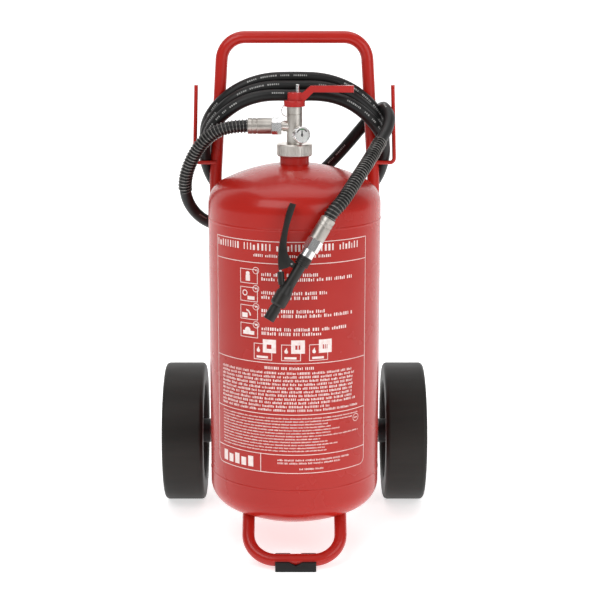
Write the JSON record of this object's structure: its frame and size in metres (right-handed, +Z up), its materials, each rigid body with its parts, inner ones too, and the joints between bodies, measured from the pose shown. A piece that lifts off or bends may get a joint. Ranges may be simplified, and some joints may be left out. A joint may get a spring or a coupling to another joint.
{
  "type": "wheeled fire extinguisher",
  "caption": "Large powder fire extinguisher on a wheeled tube carriage, with a quarter-turn valve, pressure gauge, coiled hose and squeeze-lever discharge gun.",
  "frame": {"origin": "on the ground under the middle of the carriage's footprint, between the front of the rubber shoe and the rear of the wheels", "axes": "+Z up along the tank, front (gauge and gun) towards -Y, wheels at the rear towards +Y, +X to the right of a viewer in front"},
  "size_m": [0.582, 0.6675, 1.062],
  "materials": {
    "red_paint": "gloss",
    "red_lever": "gloss",
    "nickel_plate": "satin",
    "bright_steel": "bright",
    "ferrule_steel": "satin",
    "spring_steel": "satin",
    "hose_rubber": "satin",
    "seal_rubber": "matt",
    "shoe_rubber": "matt",
    "tyre_rubber": "matt",
    "rim_plastic": "satin",
    "black_plastic": "satin",
    "white_plastic": "satin",
    "grey_plastic": "satin",
    "dial_face": "matt",
    "needle_black": "matt",
    "clear_glass": "clear"
  },
  "bodies": {
    "root": {"axle_bracket_left": "red_paint", "axle_bracket_right": "red_paint", "axle_rod": "bright_steel", "axle_split_pins": "bright_steel", "axle_tube": "red_paint", "axle_washers": "bright_steel", "ball_seat": "white_plastic", "collar_nut": "nickel_plate", "dip_tube": "grey_plastic", "foot_bow": "red_paint", "foot_shoe": "shoe_rubber", "gauge_case": "bright_steel", "gauge_dial": "dial_face", "gauge_glass": "clear_glass", "gauge_stem": "nickel_plate", "gland_nut": "nickel_plate", "gun_adapter": "bright_steel", "gun_body": "black_plastic", "gun_nozzle": "black_plastic", "gun_pivot_pin": "bright_steel", "handle_frame": "red_paint", "hose_coil": "hose_rubber", "hose_ferrule_gun_end": "ferrule_steel", "hose_ferrule_valve_end": "ferrule_steel", "hose_guard_gun_end": "spring_steel", "hose_guard_valve_end": "spring_steel", "hose_gun_run": "hose_rubber", "hose_hook_left": "red_paint", "hose_hook_right": "red_paint", "hose_nut_gun_end": "bright_steel", "hose_nut_valve_end": "bright_steel", "hose_valve_run": "hose_rubber", "neck_ring": "red_paint", "neck_seal": "seal_rubber", "outlet_nipple": "nickel_plate", "tank_barrel": "red_paint", "tank_bottom_dome": "red_paint", "tank_top_dome": "red_paint", "valve_body": "nickel_plate", "weld_saddles": "red_paint"},
    "left_wheel": {"left_tyre": "tyre_rubber", "left_rim": "rim_plastic", "left_bush": "white_plastic", "left_hub_cap": "rim_plastic"},
    "right_wheel": {"right_tyre": "tyre_rubber", "right_rim": "rim_plastic", "right_bush": "white_plastic", "right_hub_cap": "rim_plastic"},
    "lever": {"valve_lever": "red_lever", "lever_stud": "bright_steel", "valve_stem": "bright_steel", "valve_ball": "bright_steel"},
    "pin": {"safety_pin": "bright_steel"},
    "ring": {"pull_ring": "bright_steel"},
    "needle": {"gauge_needle": "needle_black"},
    "squeeze_lever": {"gun_lever": "black_plastic"},
    "piston": {"gun_piston": "bright_steel"}
  },
  "joints": [
    {"name": "left_wheel_spin", "type": "hinge", "parent": "root", "child": "left_wheel", "pos_m": [-0.246, 0.1525, 0.155], "axis": [1, 0, 0], "continuous": true},
    {"name": "right_wheel_spin", "type": "hinge", "parent": "root", "child": "right_wheel", "pos_m": [0.246, 0.1525, 0.155], "axis": [1, 0, 0], "continuous": true},
    {"name": "valve_lever_turn", "type": "hinge", "parent": "root", "child": "lever", "pos_m": [0, -0.1175, 0.93], "axis": [0, 0, -1], "range_deg": [0, 90]},
    {"name": "safety_pin_pull", "type": "slide", "parent": "root", "child": "pin", "axis": [-0.6004, 0.7997, 0], "range_m": [0, 0.03]},
    {"name": "pull_ring_swing", "type": "hinge", "parent": "pin", "child": "ring", "pos_m": [-0.01621, -0.09591, 0.919], "axis": [0.7997, 0.6004, 0], "range_deg": [-15, 60]},
    {"name": "gauge_needle_turn", "type": "hinge", "parent": "root", "child": "needle", "pos_m": [0.01473, -0.15253, 0.8635], "axis": [0.3875, -0.9219, 0], "range_deg": [-50, 110], "stiffness_Nm_per_rad": 0.0001},
    {"name": "gun_lever_squeeze", "type": "hinge", "parent": "root", "child": "squeeze_lever", "pos_m": [-0.00631, -0.32617, 0.63612], "axis": [-0.1065, 0.9789, -0.1743], "range_deg": [0, 22], "stiffness_Nm_per_rad": 0.6, "springref_deg": -11.46},
    {"name": "gun_piston_lift", "type": "slide", "parent": "root", "child": "piston", "axis": [-0.0781, 0.1665, 0.9829], "range_m": [0, 0.0084]}
  ],
  "couplings": [
    {"joint": "gun_piston_lift", "follows": "gun_lever_squeeze", "m_per_rad": 0.021476}
  ]
}
